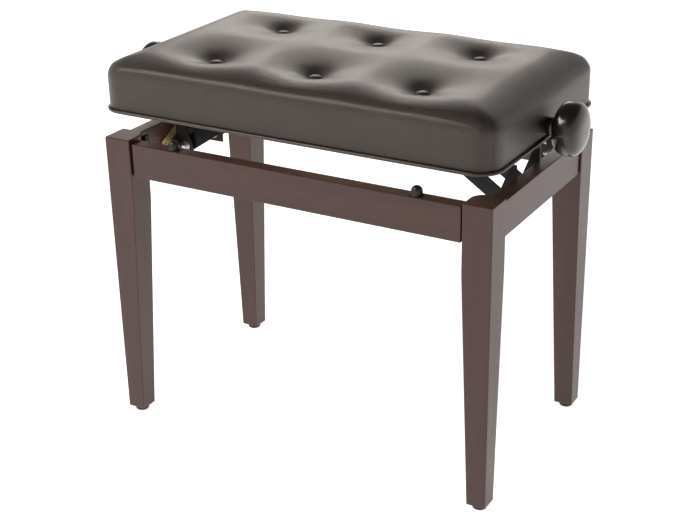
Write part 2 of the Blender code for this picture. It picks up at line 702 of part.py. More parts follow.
def build():
    clear_scene()
    mahogany = material("mahogany", (0.075, 0.040, 0.034), 0.35)
    inner_wood = material("inner_wood", (0.45, 0.33, 0.21), 0.7)
    stained_wood = material("stained_wood", (0.040, 0.026, 0.022), 0.6)
    black_steel = material("black_steel", (0.03, 0.03, 0.032), 0.4, 0.9)
    yellow_zinc = material("yellow_zinc", (0.62, 0.45, 0.20), 0.35, 1.0)
    bright_steel = material("bright_steel", (0.55, 0.55, 0.56), 0.3, 1.0)
    gloss_black = material("gloss_black", (0.012, 0.009, 0.010), 0.12)
    leather = material("leatherette", (0.035, 0.028, 0.026), 0.38)
    foam = material("foam", (0.75, 0.72, 0.62), 0.95)
    black_plastic = material("black_plastic", (0.02, 0.02, 0.02), 0.5)

    for end_label, end in ENDS:
        for side_label, side in SIDES:
            corner = f"{end_label}_{side_label}"
            leg(f"leg_{corner}", side, end, mahogany)
            glide(f"glide_{corner}", side, end, black_plastic)
            corner_plate(f"corner_plate_{corner}", side, end, black_steel)
            stop_stud(f"stop_stud_{corner}", side * STUD_X, end, black_plastic)
    aprons(mahogany)
    base_channels(black_steel, yellow_zinc, bright_steel)

    seat = empty("seat_axis", (0, 0, UPPER_PIVOT_Z))
    for label, side in SIDES:
        lift_arms(label, side, black_steel)
        links(label, side, seat, black_steel, bright_steel)
        spindle_nut(label, side, seat, bright_steel)
        bush(label, side, seat, black_steel)
    spindle(seat, bright_steel, gloss_black)
    upper_channels(seat, black_steel)
    seat_rails(seat, stained_wood)
    seat_layers(seat, inner_wood, foam, leather)
    piping(seat, leather)
    buttons(seat, leather)


build()
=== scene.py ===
"""Looks for the adjustable piano bench: cushion, covered buttons, piping, lift and finishes."""

from math import copysign, cos, exp, hypot, pi, radians, sin, tau

import bmesh
import bpy
import numpy as np
from mathutils import Matrix, Vector
from mathutils.bvhtree import BVHTree

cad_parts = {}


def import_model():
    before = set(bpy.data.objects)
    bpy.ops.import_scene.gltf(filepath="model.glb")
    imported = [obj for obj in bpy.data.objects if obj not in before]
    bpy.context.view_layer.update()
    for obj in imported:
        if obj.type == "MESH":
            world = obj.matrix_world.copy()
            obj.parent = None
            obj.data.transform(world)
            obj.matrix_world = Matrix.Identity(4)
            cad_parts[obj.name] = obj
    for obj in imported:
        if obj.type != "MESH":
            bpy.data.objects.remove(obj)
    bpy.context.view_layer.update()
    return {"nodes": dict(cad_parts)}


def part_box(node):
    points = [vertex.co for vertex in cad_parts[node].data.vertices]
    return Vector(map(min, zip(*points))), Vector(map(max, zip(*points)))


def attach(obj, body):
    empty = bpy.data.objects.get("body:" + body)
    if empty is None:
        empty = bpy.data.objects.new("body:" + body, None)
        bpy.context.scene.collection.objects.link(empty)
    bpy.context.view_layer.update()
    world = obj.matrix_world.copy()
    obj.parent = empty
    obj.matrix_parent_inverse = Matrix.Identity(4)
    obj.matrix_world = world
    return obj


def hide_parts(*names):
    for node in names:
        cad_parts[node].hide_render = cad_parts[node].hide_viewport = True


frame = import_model()

X, Y, Z = 0, 1, 2
SIDES = (("left", -1), ("right", 1))
ENDS = (("front", -1), ("back", 1))
CORNERS = [(end, end_sign, side, side_sign) for end, end_sign in ENDS for side, side_sign in SIDES]


# Camera, light and floor

CAMERA_PLACE = Vector((0.8533, -1.4805, 0.9869))
CAMERA_TARGET = Vector((0.0151, -0.0294, 0.2353))
CAMERA_ROLL = radians(-1.008)
CAMERA_LENS = 71.82
SENSOR_WIDTH = 36.0


def camera():
    back = (CAMERA_PLACE - CAMERA_TARGET).normalized()
    right = Vector((0, 0, 1)).cross(back).normalized()
    up = back.cross(right)
    across = right * cos(CAMERA_ROLL) + up * sin(CAMERA_ROLL)
    upwards = up * cos(CAMERA_ROLL) - right * sin(CAMERA_ROLL)
    data = bpy.data.cameras.new("camera")
    data.lens = CAMERA_LENS
    data.sensor_width = SENSOR_WIDTH
    made = bpy.data.objects.new("camera", data)
    turned = Matrix((across, upwards, back)).transposed().to_4x4()
    made.matrix_world = Matrix.Translation(CAMERA_PLACE) @ turned
    bpy.context.scene.collection.objects.link(made)
    bpy.context.scene.camera = made


WARM = (1.0, 0.95, 0.90)


def area_light(name, place, target, width, height, power, mirrored):
    data = bpy.data.lights.new(name, "AREA")
    data.shape = "RECTANGLE"
    data.size = width
    data.size_y = height
    data.energy = power
    data.color = WARM
    made = bpy.data.objects.new(name, data)
    made.location = place
    aim = Vector(target) - Vector(place)
    made.rotation_euler = aim.to_track_quat("-Z", "Y").to_euler()
    made.visible_glossy = mirrored
    bpy.context.scene.collection.objects.link(made)


# Small helpers


def tree_of(name):
    made = bpy.data.materials.new(name)
    made.use_nodes = True
    return made, made.node_tree, made.node_tree.nodes["Principled BSDF"]


def add(tree, kind, inputs=None, **settings):
    """A node with its settings, and with each input given a value or a link."""
    node = tree.nodes.new(kind)
    for key, value in settings.items():
        setattr(node, key, value)
    join(tree, node, inputs or {})
    return node


def join(tree, node, inputs):
    for key, value in inputs.items():
        if isinstance(value, bpy.types.NodeSocket):
            tree.links.new(value, node.inputs[key])
        else:
            node.inputs[key].default_value = value


def ramp(tree, factor, stops):
    node = add(tree, "ShaderNodeValToRGB", {"Fac": factor})
    elements = node.color_ramp.elements
    while len(elements) < len(stops):
        elements.new(0.5)
    for element, (place, value) in zip(elements, stops):
        element.position = place
        element.color = (value, value, value, 1)
    return node.outputs["Color"]


MIX_FACTOR, MIX_FIRST, MIX_SECOND = 0, 6, 7  # input sockets of a mix node set to colour
MIX_RESULT = 2


def mix(tree, factor, first, second, blend="MIX"):
    node = tree.nodes.new("ShaderNodeMix")
    node.data_type = "RGBA"
    node.blend_type = blend
    for index, value in ((MIX_FACTOR, factor), (MIX_FIRST, first), (MIX_SECOND, second)):
        if isinstance(value, bpy.types.NodeSocket):
            tree.links.new(value, node.inputs[index])
        elif index == MIX_FACTOR:
            node.inputs[index].default_value = value
        else:
            node.inputs[index].default_value = (*value, 1)
    return node.outputs[MIX_RESULT]


def maths(tree, operation, first, second=0.0):
    inputs = {0: first, 1: second}
    return add(tree, "ShaderNodeMath", inputs, operation=operation).outputs[0]


def scaled(tree, value, scale, shift):
    """A value times a scale, plus a shift."""
    inputs = {0: value, 1: scale, 2: shift}
    return add(tree, "ShaderNodeMath", inputs, operation="MULTIPLY_ADD").outputs[0]


def relief(tree, height, strength, distance):
    inputs = {"Height": height, "Strength": strength, "Distance": distance}
    return add(tree, "ShaderNodeBump", inputs).outputs["Normal"]


def stretched(tree, coordinates, scale, turn=(0, 0, 0)):
    inputs = {"Vector": coordinates, "Scale": scale, "Rotation": turn}
    return add(tree, "ShaderNodeMapping", inputs).outputs["Vector"]


def noise(tree, coordinates, scale, detail=4.0, roughness=0.55):
    inputs = {"Vector": coordinates, "Scale": scale, "Detail": detail, "Roughness": roughness}
    return add(tree, "ShaderNodeTexNoise", inputs).outputs["Fac"]


def new_group(name, inputs, outputs):
    group = bpy.data.node_groups.new(name, "ShaderNodeTree")
    for socket, kind, value in inputs:
        made = group.interface.new_socket(socket, in_out="INPUT", socket_type=kind)
        if value is not None:
            made.default_value = value
    for socket, kind in outputs:
        group.interface.new_socket(socket, in_out="OUTPUT", socket_type=kind)
    start = group.nodes.new("NodeGroupInput")
    end = group.nodes.new("NodeGroupOutput")
    return group, start.outputs, end


def place_group(tree, group, inputs):
    node = tree.nodes.new("ShaderNodeGroup")
    node.node_tree = group
    join(tree, node, inputs)
    return node.outputs


COLOUR = "NodeSocketColor"
VALUE = "NodeSocketFloat"
VECTOR = "NodeSocketVector"


def wood_grain_group():
    """Wood with its grain along Z: broad figure, fine fibres and short dark pores."""
    group, given, end = new_group(
        "wood_grain",
        [
            ("Vector", VECTOR, None),
            ("Late wood", COLOUR, (0.03, 0.012, 0.01, 1)),
            ("Early wood", COLOUR, (0.06, 0.03, 0.025, 1)),
            ("Pores", VALUE, 0.5),
        ],
        [("Color", COLOUR), ("Roughness", VALUE), ("Height", VALUE)],
    )
    figure = noise(group, stretched(group, given["Vector"], (26, 26, 2.2)), 1.0, 3.0)
    figure = ramp(group, figure, ((0.32, 0), (0.68, 1)))
    fibres = noise(group, stretched(group, given["Vector"], (420, 420, 9)), 1.0, 3.0, 0.6)
    pores = noise(group, stretched(group, given["Vector"], (900, 900, 45)), 1.0, 2.0)
    pores = ramp(group, pores, ((0.60, 0), (0.70, 1)))
    pores = maths(group, "MULTIPLY", pores, given["Pores"])
    colour = mix(group, figure, given["Late wood"], given["Early wood"])
    shade = ramp(group, fibres, ((0.25, 0.72), (0.75, 1.0)))
    colour = mix(group, 1.0, colour, shade, "MULTIPLY")
    colour = mix(group, pores, colour, (0.008, 0.004, 0.003))
    rough = scaled(group, fibres, 0.16, 0.30)
    height = maths(group, "SUBTRACT", maths(group, "MULTIPLY", fibres, 0.35), pores)
    join(group, end, {"Color": colour, "Roughness": rough, "Height": height})
    return group


PEBBLE_SCALE = 850.0
TRIM_PEBBLE_SCALE = 1200.0


def hide_grain_group():
    """Embossed leatherette: small rounded pebbles, fine creases and slow unevenness."""
    group, given, end = new_group(
        "hide_grain",
        [
            ("Vector", VECTOR, None),
            ("Base", COLOUR, (0.02, 0.016, 0.015, 1)),
            ("Pebbles", VALUE, PEBBLE_SCALE),
        ],
        [("Color", COLOUR), ("Roughness", VALUE), ("Height", VALUE)],
    )
    warp_inputs = {"Vector": given["Vector"], "Scale": 320.0, "Detail": 2.0}
    warp = add(group, "ShaderNodeTexNoise", warp_inputs).outputs["Color"]
    offset = add(group, "ShaderNodeVectorMath", {0: warp, "Scale": 0.0009}, operation="SCALE")
    shift = {0: given["Vector"], 1: offset.outputs[0]}
    moved = add(group, "ShaderNodeVectorMath", shift, operation="ADD")
    cells = add(
        group,
        "ShaderNodeTexVoronoi",
        {"Vector": moved.outputs[0], "Scale": given["Pebbles"]},
        feature="DISTANCE_TO_EDGE",
    ).outputs["Distance"]
    pebbles = ramp(group, cells, ((0.02, 0), (0.26, 1)))
    slow = noise(group, given["Vector"], 16.0, 3.0)
    fine = noise(group, given["Vector"], 900.0, 2.0)
    tone = ramp(group, slow, ((0.3, 0.86), (0.7, 1.12)))
    colour = mix(group, 1.0, given["Base"], tone, "MULTIPLY")
    # Painted shade: the colour is darkened in the low grooves between the pebbles, as if shade fell in
    # them.
    colour = mix(group, 1.0, colour, ramp(group, pebbles, ((0.0, 0.62), (0.6, 1.0))), "MULTIPLY")
    rough = scaled(group, fine, 0.08, 0.33)
    folds = noise(group, given["Vector"], 240.0, 3.0)
    height = maths(group, "ADD", pebbles, maths(group, "MULTIPLY", fine, 0.3))
    height = maths(group, "ADD", height, maths(group, "MULTIPLY", folds, 1.6))
    join(group, end, {"Color": colour, "Roughness": rough, "Height": height})
    return group


def surface_wear_group():
    """Uneven coating: slow patches, fine orange peel and a few long scratches."""
    group, given, end = new_group(
        "surface_wear",
        [
            ("Vector", VECTOR, None),
            ("Clean", COLOUR, (0.02, 0.02, 0.02, 1)),
            ("Worn", COLOUR, (0.05, 0.05, 0.05, 1)),
            ("Smoothest", VALUE, 0.3),
        ],
        [("Color", COLOUR), ("Roughness", VALUE), ("Height", VALUE)],
    )
    patches = ramp(group, noise(group, given["Vector"], 55.0, 5.0), ((0.38, 0), (0.72, 1)))
    peel = noise(group, given["Vector"], 750.0, 2.0)
    lines = noise(group, stretched(group, given["Vector"], (40, 900, 900)), 1.0, 3.0, 0.7)
    lines = ramp(group, lines, ((0.66, 0), (0.74, 1)))
    patchy = maths(group, "MULTIPLY", patches, 0.6)
    scratched = maths(group, "MULTIPLY", lines, 0.7)
    colour = mix(group, maths(group, "MAXIMUM", patchy, scratched), given["Clean"], given["Worn"])
    rough = scaled(group, patches, 0.18, given["Smoothest"])
    height = maths(group, "SUBTRACT", peel, maths(group, "MULTIPLY", lines, 0.4))
    join(group, end, {"Color": colour, "Roughness": rough, "Height": height})
    return group


def finish_with(tree, shader, outputs, strength, distance):
    """Links a group's colour, roughness and height to the material's own shader."""
    normal = relief(tree, outputs["Height"], strength, distance)
    inputs = {"Base Color": outputs["Color"], "Roughness": outputs["Roughness"], "Normal": normal}
    join(tree, shader, inputs)


def object_coordinates(tree):
    return tree.nodes.new("ShaderNodeTexCoord").outputs["Object"]


UPRIGHT = (0, 0, 0)
LENGTHWISE = (0, pi / 2, 0)
CROSSWISE = (pi / 2, 0, 0)
WOOD_RELIEF = 0.0004
COATING_RELIEF = 0.0003
HIDE_RELIEF = 0.0007
RED_SHEEN = (1.0, 0.84, 0.80, 1)
BROWN_SHEEN = (1.0, 0.90, 0.83, 1)


def wood(name, turn, late, early, pores, coat, bump):
    """Stained wood with its grain turned to lie along the piece."""
    made, tree, shader = tree_of(name)
    along = stretched(tree, object_coordinates(tree), (1, 1, 1), turn)
    inputs = {"Vector": along, "Late wood": (*late, 1), "Early wood": (*early, 1), "Pores": pores}
    finish_with(tree, shader, place_group(tree, wood_grain, inputs), bump, WOOD_RELIEF)
    sheen = {"Specular Tint": RED_SHEEN, "Coat Weight": coat, "Coat Roughness": 0.28}
    join(tree, shader, sheen)
    return made


def coated(name, clean, worn, smoothest, bump, metallic=0.0, coat=0.0, specular=0.5):
    """Paint, plating or moulded plastic, a little worn."""
    made, tree, shader = tree_of(name)
    inputs = {
        "Vector": object_coordinates(tree),
        "Clean": (*clean, 1),
        "Worn": (*worn, 1),
        "Smoothest": smoothest,
    }
    finish_with(tree, shader, place_group(tree, surface_wear, inputs), bump, COATING_RELIEF)
    sheen = {
        "Metallic": metallic,
        "Specular IOR Level": specular,
        "Coat Weight": coat,
        "Coat Roughness": 0.06,
    }
    join(tree, shader, sheen)
    return made


def hide(name, base, bump, pebbles):
    """Satin leatherette under a thin warm coat."""
    made, tree, shader = tree_of(name)
    inputs = {"Vector": object_coordinates(tree), "Base": (*base, 1), "Pebbles": pebbles}
    finish_with(tree, shader, place_group(tree, hide_grain, inputs), bump, HIDE_RELIEF)
    sheen = {
        "Specular IOR Level": 0.55,
        "Specular Tint": BROWN_SHEEN,
        "Coat Weight": 0.25,
        "Coat Roughness": 0.28,
        "Coat Tint": (1.0, 0.95, 0.90, 1),
    }
    join(tree, shader, sheen)
    return made


PLY_REPEAT = 0.0030  # two glued layers


def plywood_material():
    """Pale veneer on the faces and thin glued layers on the edges."""
    made, tree, shader = tree_of("birch_plywood")
    coordinates = object_coordinates(tree)
    along = stretched(tree, coordinates, (1, 1, 1), LENGTHWISE)
    inputs = {
        "Vector": along,
        "Late wood": (0.40, 0.26, 0.14, 1),
        "Early wood": (0.62, 0.46, 0.29, 1),
        "Pores": 0.25,
    }
    grain = place_group(tree, wood_grain, inputs)
    height = add(tree, "ShaderNodeSeparateXYZ", {"Vector": coordinates}).outputs["Z"]
    layers = maths(tree, "SINE", maths(tree, "MULTIPLY", height, tau / PLY_REPEAT))
    layers = ramp(tree, layers, ((0.45, 0.45), (0.55, 1.0)))
    facing = tree.nodes.new("ShaderNodeNewGeometry").outputs["Normal"]
    flat = add(tree, "ShaderNodeSeparateXYZ", {"Vector": facing}).outputs["Z"]
    flat = maths(tree, "ABSOLUTE", flat)
    edge = mix(tree, 1.0, grain["Color"], layers, "MULTIPLY")
    colour = mix(tree, flat, edge, grain["Color"])
    normal = relief(tree, grain["Height"], 0.2, WOOD_RELIEF)
    join(tree, shader, {"Base Color": colour, "Normal": normal, "Roughness": 0.62})
    return made


def floor_material():
    made, tree, shader = tree_of("pale_floor")
    slow = noise(tree, object_coordinates(tree), 1.5, 3.0)
    colour = mix(tree, slow, (0.90, 0.90, 0.90), (0.93, 0.93, 0.93))
    glow = {"Emission Color": (1, 1, 1, 1), "Emission Strength": 0.72}
    join(tree, shader, {"Base Color": colour, "Roughness": 0.85, **glow})
    return made


wood_grain = wood_grain_group()
hide_grain = hide_grain_group()
surface_wear = surface_wear_group()

MAHOGANY = {
    "late": (0.030, 0.0085, 0.0075),
    "early": (0.050, 0.0165, 0.0145),
    "pores": 0.7,
    "coat": 0.22,
    "bump": 0.12,
}
STAINED = {
    "late": (0.016, 0.009, 0.008),
    "early": (0.030, 0.018, 0.015),
    "pores": 0.5,
    "coat": 0.0,
    "bump": 0.25,
}

mahogany_upright = wood("mahogany_upright", UPRIGHT, **MAHOGANY)
mahogany_long = wood("mahogany_long", LENGTHWISE, **MAHOGANY)
mahogany_cross = wood("mahogany_cross", CROSSWISE, **MAHOGANY)
stained_long = wood("stained_long", LENGTHWISE, **STAINED)
stained_cross = wood("stained_cross", CROSSWISE, **STAINED)
plywood = plywood_material()
leatherette = hide("leatherette", (0.0150, 0.0105, 0.0090), 0.45, PEBBLE_SCALE)
leatherette_trim = hide("leatherette_trim", (0.019, 0.014, 0.012), 0.12, TRIM_PEBBLE_SCALE)
black_paint = coated(
    "black_paint", (0.006, 0.006, 0.0065), (0.022, 0.020, 0.018), 0.30, 0.10, specular=0.22
)
yellow_zinc = coated(
    "yellow_zinc", (0.62, 0.43, 0.19), (0.74, 0.60, 0.36), 0.28, 0.06, metallic=1.0
)
bright_steel = coated(
    "bright_steel", (0.52, 0.52, 0.53), (0.36, 0.35, 0.34), 0.22, 0.05, metallic=1.0
)
gloss_black = coated(
    "gloss_black", (0.008, 0.005, 0.005), (0.010, 0.007, 0.007), 0.16, 0.006, coat=0.45, specular=0.4
)
rubber = coated(
    "black_rubber", (0.008, 0.008, 0.008), (0.022, 0.021, 0.020), 0.26, 0.05, specular=0.4
)


# Shapes

SHARP_ANGLE = radians(38)
SEAM = 1e-6


def new_object(name, bm, finish):
    """Closes the seams, turns the faces outwards and makes an object of them."""
    bmesh.ops.remove_doubles(bm, verts=bm.verts, dist=SEAM)
    bmesh.ops.recalc_face_normals(bm, faces=bm.faces)
    mesh = bpy.data.meshes.new(name)
    bm.to_mesh(mesh)
    bm.free()
    mesh.shade_smooth()
    mesh.set_sharp_from_angle(angle=SHARP_ANGLE)
    mesh.materials.append(finish)
    made = bpy.data.objects.new(name, mesh)
    bpy.context.scene.collection.objects.link(made)
    return made


def piece(name, bm, finish, body):
    """Makes an object and hands it to its body."""
    made = new_object(name, bm, finish)
    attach(made, body)
    return made


def all_of(bm):
    return bm.verts[:] + bm.edges[:] + bm.faces[:]


def new_since(bm, known):
    return [vert for vert in bm.verts if vert not in known]


def place_shape(bm, verts, place, direction):
    """Turns a shape built along Z to look along a direction, then moves it."""
    turn = Vector((0, 0, 1)).rotation_difference(Vector(direction)).to_matrix()
    bmesh.ops.rotate(bm, verts=verts, matrix=turn)
    bmesh.ops.translate(bm, verts=verts, vec=Vector(place))


def add_turned(bm, profile, place, direction, segments=24, ring=False):
    """A turned shape from (radius, height) points, which begin and end on its axis.

    The points of a ring go round its section instead, and stay off the axis.
    """
    known = set(bm.verts)
    verts = [bm.verts.new((radius, 0, height)) for radius, height in profile]
    following = verts[1:] + verts[:1] if ring else verts[1:]
    edges = [bm.edges.new(pair) for pair in zip(verts, following)]
    bmesh.ops.spin(
        bm,
        geom=verts + edges,
        cent=(0, 0, 0),
        axis=(0, 0, 1),
        angle=tau,
        steps=segments,
        use_merge=True,
    )
    bmesh.ops.remove_doubles(bm, verts=new_since(bm, known), dist=SEAM)
    place_shape(bm, new_since(bm, known), place, direction)


def ease_edges(bm, edges, offset, segments):
    bmesh.ops.bevel(
        bm, geom=edges, offset=offset, segments=segments, profile=0.5, affect="EDGES", material=-1
    )


def cut_off(bm, place, facing, merge):
    """Takes away all that lies in front of a plane."""
    bmesh.ops.bisect_plane(
        bm, geom=all_of(bm), dist=merge, plane_co=place, plane_no=facing, clear_outer=True
    )


def quarter_turn(steps):
    """Evenly spaced angles from nothing to a right angle."""
    return [pi / 2 * i / steps for i in range(steps + 1)]


def rounded(radius, height, ease):
    """Profile of a disc with an eased rim, from its base up to its middle."""
    points = [(0, 0), (radius, 0)]
    for turn in quarter_turn(3):
        points.append((radius - ease + ease * cos(turn), height - ease + ease * sin(turn)))
    points.append((0, height))
    return points


RIVET_WASHER = 1.35  # times the rivet's radius
RIVET_WASHER_HEIGHT = 0.0007


def add_rivet(bm, place, direction, radius, height):
    """A domed head on a thin washer."""
    washer = radius * RIVET_WASHER
    base = RIVET_WASHER_HEIGHT
    profile = [(0, 0), (washer, 0), (washer, base - 0.0002), (washer - 0.0003, base)]
    profile += [(radius * cos(turn), base + height * sin(turn)) for turn in quarter_turn(5)[:-1]]
    profile.append((0, base + height))
    add_turned(bm, profile, place, direction, 20)


SCREW_HEIGHT = 0.62  # times the head's radius
SCREW_RIM = 0.25  # share of the height
SOCKET_RADIUS = 0.46  # times the head's radius
SOCKET_FLOOR = 0.45  # share of the height


def add_screw(bm, place, direction, radius):
    """A button head with a six-sided socket."""
    height = radius * SCREW_HEIGHT
    socket = radius * SOCKET_RADIUS
    profile = [(0, 0), (radius, 0), (radius, height * SCREW_RIM)]
    for turn in (0.35, 0.7, 0.95):
        rise = SCREW_RIM + (1 - SCREW_RIM) * sin(turn)
        profile.append((radius * cos(turn) ** 0.8, height * rise))
    profile += [(socket, height), (socket, height * SOCKET_FLOOR), (0, height * SOCKET_FLOOR)]
    known = set(bm.verts)
    add_turned(bm, profile, (0, 0, 0), (0, 0, 1), 24)
    fresh = new_since(bm, known)
    for vert in fresh:
        reach = hypot(vert.co.x, vert.co.y)
        if abs(reach - socket) < 1e-5:
            turn = np.arctan2(vert.co.y, vert.co.x) % (pi / 3) - pi / 6
            vert.co.x *= cos(pi / 6) / cos(turn)
            vert.co.y *= cos(pi / 6) / cos(turn)
    place_shape(bm, fresh, place, direction)


BOLT_WASHER = 2.3  # times the bolt's radius, as are the next two
NUT_RADIUS = 1.9
NUT_HEIGHT = 1.6
BOLT_WASHER_HEIGHT = 0.0012


def add_bolt_end(bm, place, direction, radius, reach):
    """A hexagon nut on a washer, with the end of its bolt standing out."""
    add_turned(bm, rounded(radius * BOLT_WASHER, BOLT_WASHER_HEIGHT, 0.0003), place, direction)
    base = Vector(place) + Vector(direction).normalized() * BOLT_WASHER_HEIGHT
    nut = radius * NUT_RADIUS
    depth = radius * NUT_HEIGHT
    known = set(bm.verts)
    made = bmesh.ops.create_cone(
        bm, cap_ends=True, segments=6, radius1=nut, radius2=nut, depth=depth
    )["verts"]
    bmesh.ops.translate(bm, verts=made, vec=(0, 0, depth / 2))
    edges = {edge for vert in made for edge in vert.link_edges}
    rims = [e for e in edges if abs(e.verts[0].co.z - e.verts[1].co.z) < SEAM]
    ease_edges(bm, rims, 0.0004, 2)
    place_shape(bm, new_since(bm, known), base, direction)
    add_turned(bm, rounded(radius, reach, 0.0008), base, direction)


def middle(node):
    low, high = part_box(node)
    return (low + high) / 2


def face_of(node, axis, sign):
    """Where a node ends along an axis, at its high side for a positive sign."""
    low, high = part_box(node)
    return high[axis] if sign > 0 else low[axis]


# Seat cushion

COVER_LOW, COVER_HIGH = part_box("seat_cover")
HALF = Vector((COVER_HIGH.x, COVER_HIGH.y))
CORNER_RADIUS = 0.030
SHOULDER = 0.009
BLEND_DEPTH = 0.022  # below the edge, where the walls start to follow the crown
SLACK = 0.0010  # the start shape is this much smaller all round
VOXEL = 0.005
EDGE_FLAT_Z = COVER_HIGH.z - 0.0045
COVER_BOTTOM_Z = COVER_LOW.z - 0.0015  # down behind the piping
CROWN_RISE = 0.0140
CROWN_WIDTH = 0.052
END_DROP = 0.0065  # of the top, towards the two short ends
END_WIDTH = 0.13
TRIM_BELOW = 0.007  # extra height at the bottom, cut off later
BUTTONS = [middle(f"button_{i}") for i in range(1, 7)]
BUTTON_SEAT_Z = COVER_HIGH.z - 0.0095
TUFT_WIDE = 0.056
TUFT_NARROW = 0.020
TUFT_WIDE_SHARE = 0.60
TUFT_BLEND = 2.5  # power by which neighbouring tufts run together


def from_edge(x, y):
    """Distance in from the outline of the seat."""
    out_x = abs(x) - (HALF.x - CORNER_RADIUS)
    out_y = abs(y) - (HALF.y - CORNER_RADIUS)
    corner = hypot(max(out_x, 0), max(out_y, 0))
    return CORNER_RADIUS - corner - min(max(out_x, out_y), 0)


def crown(x, y):
    """Height of the top before the cover is tightened."""
    share = min(from_edge(x, y) / CROWN_WIDTH, 1)
    height = EDGE_FLAT_Z + CROWN_RISE * (1 - (1 - share) ** 2)
    height -= END_DROP * (1 - min((HALF.x - abs(x)) / END_WIDTH, 1)) ** 2
    fall = height - BUTTON_SEAT_Z
    dip = 0.0
    for button in BUTTONS:
        reach = hypot(x - button.x, y - button.y)
        wide = exp(-((reach / TUFT_WIDE) ** 2))
        narrow = exp(-((reach / TUFT_NARROW) ** 2))
        own = TUFT_WIDE_SHARE * wide + (1 - TUFT_WIDE_SHARE) * narrow
        dip += own**TUFT_BLEND
    return height - fall * min(dip ** (1 / TUFT_BLEND), 1)


def cushion_block():
    """The upholstered block: rounded upright corners and a rounded top edge."""
    low_z = COVER_LOW.z - TRIM_BELOW
    size = (2 * (HALF.x - SLACK), 2 * (HALF.y - SLACK), EDGE_FLAT_Z - low_z)
    bm = bmesh.new()
    bmesh.ops.create_cube(bm, size=1.0)
    bmesh.ops.scale(bm, vec=size, verts=bm.verts)
    bmesh.ops.translate(bm, vec=(0, 0, (EDGE_FLAT_Z + low_z) / 2), verts=bm.verts)
    upright = [e for e in bm.edges if abs(e.verts[0].co.z - e.verts[1].co.z) > 0.01]
    ease_edges(bm, upright, CORNER_RADIUS - SLACK, 12)
    rim = [e for e in bm.edges if all(v.co.z > EDGE_FLAT_Z - 1e-5 for v in e.verts)]
    ease_edges(bm, rim, SHOULDER, 6)
    return bm


def evaluated_mesh(obj):
    graph = bpy.context.evaluated_depsgraph_get()
    return bpy.data.meshes.new_from_object(obj.evaluated_get(graph))


def with_modifier(obj, name, kind, **settings):
    """Applies one modifier to the object's mesh."""
    modifier = obj.modifiers.new(name, kind)
    for key, value in settings.items():
        setattr(modifier, key, value)
    mesh = evaluated_mesh(obj)
    obj.modifiers.clear()
    obj.data = mesh


def coordinates_of(mesh):
    flat = np.empty(len(mesh.vertices) * 3)
    mesh.vertices.foreach_get("co", flat)
    return flat.reshape(-1, 3)


def set_coordinates(mesh, points):
    mesh.vertices.foreach_set("co", points.reshape(-1))
    mesh.update()


STAPLED_HEIGHT = 0.010  # up from the cover's lower edge
BUTTONED_REACH = 0.010  # out from each button
BUTTONED_DEPTH = 0.012
SETTLING_FRAMES = 20
COVER_CLOTH = {
    "mass": 0.25,
    "tension_stiffness": 30,
    "compression_stiffness": 30,
    "shear_stiffness": 12,
    "bending_stiffness": 20,
    "use_pressure": True,
    "uniform_pressure_force": 4.0,
    "vertex_group_mass": "held",
}


def tighten(obj, points):
    """Cloth simulation: the cover fills out against its staples and buttons."""
    group = obj.vertex_groups.new(name="held")
    for index, (x, y, z) in enumerate(points):
        near = min(hypot(x - b.x, y - b.y) for b in BUTTONS)
        stapled = z < COVER_LOW.z + STAPLED_HEIGHT
        buttoned = near < BUTTONED_REACH and z > EDGE_FLAT_Z - BUTTONED_DEPTH
        if stapled or buttoned:
            group.add([index], 1.0, "REPLACE")
    cloth = obj.modifiers.new("tighten", "CLOTH")
    for key, value in COVER_CLOTH.items():
        setattr(cloth.settings, key, value)
    cloth.settings.effector_weights.gravity = 0
    cloth.collision_settings.use_collision = False
    cloth.point_cache.frame_start = 1
    cloth.point_cache.frame_end = SETTLING_FRAMES
    for step in range(1, SETTLING_FRAMES + 1):
        bpy.context.scene.frame_set(step)
    settled = coordinates_of(evaluated_mesh(obj))
    obj.modifiers.clear()
    obj.vertex_groups.clear()
    bpy.context.scene.frame_set(1)
    return settled


EVEN_ROUNDS = 14
EVEN_SHARE = 0.6  # taken from the neighbours in each round


def evened(mesh, values):
    """Spreads a value of each point over its neighbours, several times."""
    ends = np.empty(len(mesh.edges) * 2, np.int64)
    mesh.edges.foreach_get("vertices", ends)
    first, second = ends.reshape(-1, 2).T
    count = np.bincount(ends, minlength=len(values))[:, None]
    for _ in range(EVEN_ROUNDS):
        total = np.zeros_like(values)
        np.add.at(total, first, values[second])
        np.add.at(total, second, values[first])
        values = (1 - EVEN_SHARE) * values + EVEN_SHARE * total / count
    return values


PLEAT_DEPTH = 0.0008
PLEAT_WIDTH = 0.0024
PLEAT_TURN = radians(38)  # round each corner, from the end of the seat
PLEAT_LIP = 0.45  # times the depth, raised beside the fold
PLEAT_LIP_PLACE = 0.0055
PLEAT_LIP_WIDTH = 0.0032
PLEAT_START = 0.35  # shares of the corner's radius
PLEAT_FADE = 0.4


